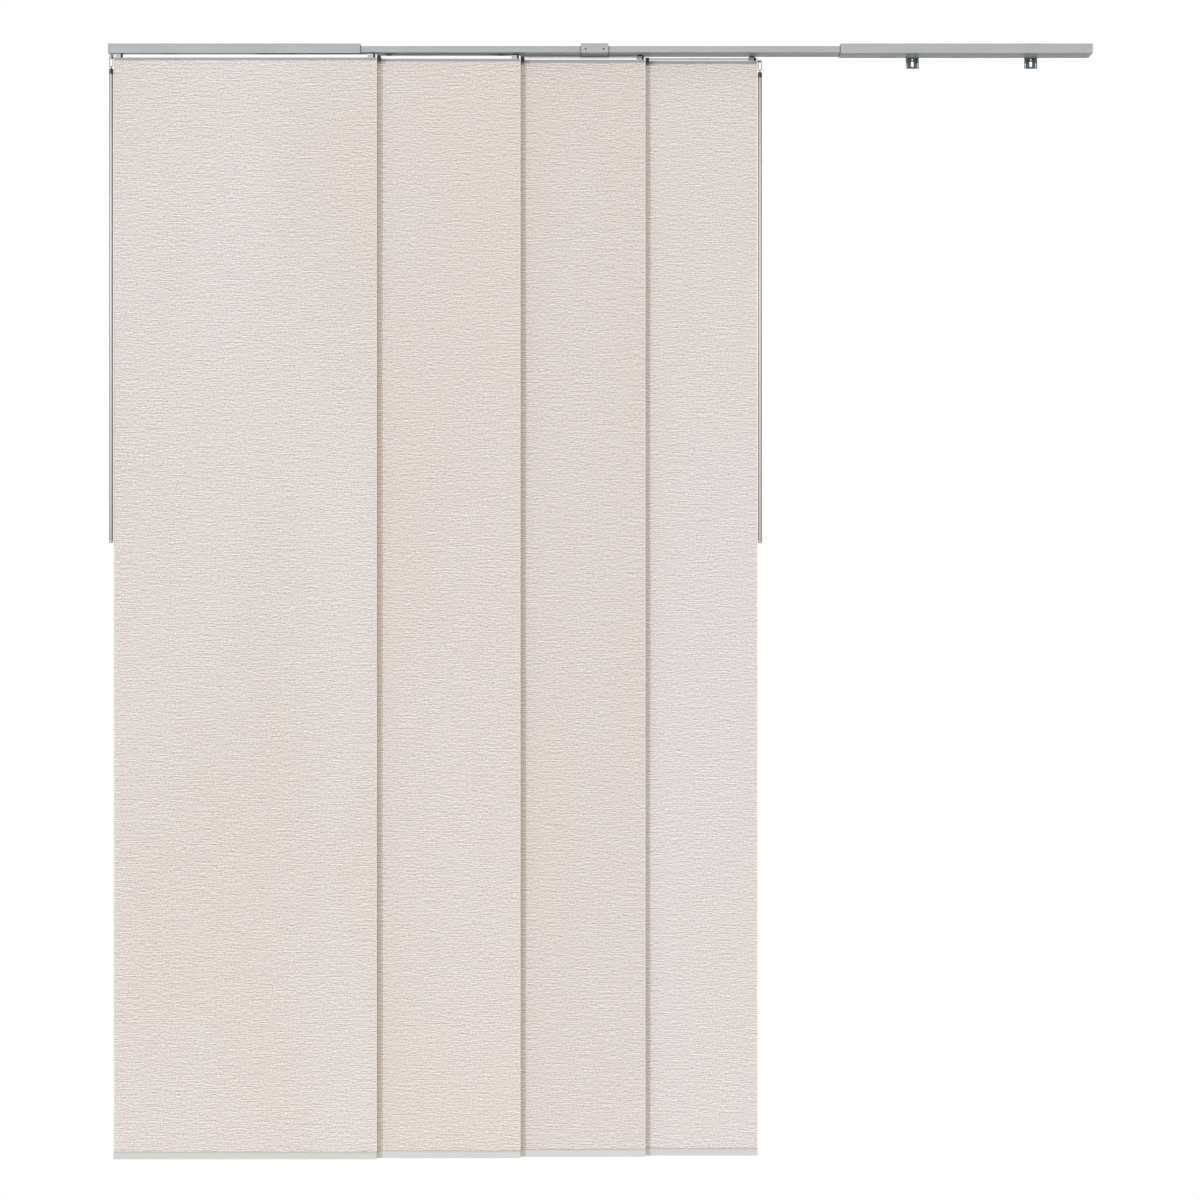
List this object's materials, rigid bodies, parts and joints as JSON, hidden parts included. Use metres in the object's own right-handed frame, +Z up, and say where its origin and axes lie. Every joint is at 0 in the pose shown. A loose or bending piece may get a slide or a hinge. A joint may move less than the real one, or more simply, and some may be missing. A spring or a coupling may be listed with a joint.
{
  "type": "panel track blind",
  "caption": "Extendable channelled track on wall brackets, with overlapping flat fabric panels that slide sideways on carriers and hanging wands that draw the outer panels.",
  "frame": {"origin": "in the wall plane, midway between the outer brackets' round holes, at their height", "axes": "+X along the track to the right, +Y into the wall, +Z up; the front faces -Y"},
  "size_m": [2.184, 0.0632, 2.4795],
  "materials": {
    "rail": "satin silver grey",
    "end_cap": "satin silver grey",
    "dark_steel": "blackened",
    "zinc": "zinc plated, bright",
    "header": "bright anodised",
    "carrier": "moulded black",
    "clip": "moulded light grey",
    "tape": "hook tape",
    "fabric": "slub weave",
    "bottom_rail": "satin white",
    "link": "polished wire",
    "wand_cap": "dark brown",
    "wand_rod": "glossy silver grey"
  },
  "bodies": {
    "track": {"left_outer_rail": "rail", "right_outer_rail": "rail", "left_inner_rail": "rail", "right_inner_rail": "rail", "centre_joiner": "rail", "joiner_screws": "dark_steel", "left_end_cap": "end_cap", "right_end_cap": "end_cap", "bracket_1": "zinc", "bracket_2": "zinc", "bracket_3": "zinc", "bracket_4": "zinc", "bracket_nuts": "zinc", "bracket_screws": "zinc"},
    "panel_1": {"header_rail_1": "header", "header_caps_1": "header", "carriers_1": "carrier", "link_catches_1": "carrier", "hanger_clips_1": "clip", "hook_tape_1": "tape", "fabric_1": "fabric", "bottom_rail_1": "bottom_rail", "bottom_caps_1": "bottom_rail", "wand_hook_1": "clip"},
    "panel_2": {"header_rail_2": "header", "header_caps_2": "header", "carriers_2": "carrier", "link_catches_2": "carrier", "hanger_clips_2": "clip", "hook_tape_2": "tape", "fabric_2": "fabric", "bottom_rail_2": "bottom_rail", "bottom_caps_2": "bottom_rail"},
    "panel_3": {"header_rail_3": "header", "header_caps_3": "header", "carriers_3": "carrier", "link_catches_3": "carrier", "hanger_clips_3": "clip", "hook_tape_3": "tape", "fabric_3": "fabric", "bottom_rail_3": "bottom_rail", "bottom_caps_3": "bottom_rail"},
    "panel_4": {"header_rail_4": "header", "header_caps_4": "header", "carriers_4": "carrier", "link_catches_4": "carrier", "hanger_clips_4": "clip", "hook_tape_4": "tape", "fabric_4": "fabric", "bottom_rail_4": "bottom_rail", "bottom_caps_4": "bottom_rail", "wand_hook_4": "clip"},
    "link_1": {"wand_link_1": "link"},
    "wand_1": {"wand_cap_1": "wand_cap", "wand_rod_1": "wand_rod", "wand_tip_1": "wand_rod"},
    "link_4": {"wand_link_4": "link"},
    "wand_4": {"wand_cap_4": "wand_cap", "wand_rod_4": "wand_rod", "wand_tip_4": "wand_rod"}
  },
  "joints": [
    {"name": "panel_1_slide", "type": "slide", "parent": "track", "child": "panel_1", "axis": [1, 0, 0], "range_m": [0, 1.576]},
    {"name": "panel_2_slide", "type": "slide", "parent": "track", "child": "panel_2", "axis": [1, 0, 0], "range_m": [-0.3184, 1.2576]},
    {"name": "panel_3_slide", "type": "slide", "parent": "track", "child": "panel_3", "axis": [1, 0, 0], "range_m": [-0.5964, 0.9796]},
    {"name": "panel_4_slide", "type": "slide", "parent": "track", "child": "panel_4", "axis": [1, 0, 0], "range_m": [-0.8469, 0.7291]},
    {"name": "wand_1_sideways", "type": "hinge", "parent": "panel_1", "child": "link_1", "pos_m": [-1.0852, -0.0585, -0.0055], "axis": [0, 1, 0], "range_deg": [0, 40]},
    {"name": "wand_1_forward", "type": "hinge", "parent": "link_1", "child": "wand_1", "pos_m": [-1.0852, -0.0585, -0.02695], "axis": [1, 0, 0], "range_deg": [-40, 0]},
    {"name": "wand_4_sideways", "type": "hinge", "parent": "panel_4", "child": "link_4", "pos_m": [0.3561, -0.0153, -0.0055], "axis": [0, 1, 0], "range_deg": [-40, 0]},
    {"name": "wand_4_forward", "type": "hinge", "parent": "link_4", "child": "wand_4", "pos_m": [0.3561, -0.0153, -0.02695], "axis": [1, 0, 0], "range_deg": [-40, 0]}
  ]
}
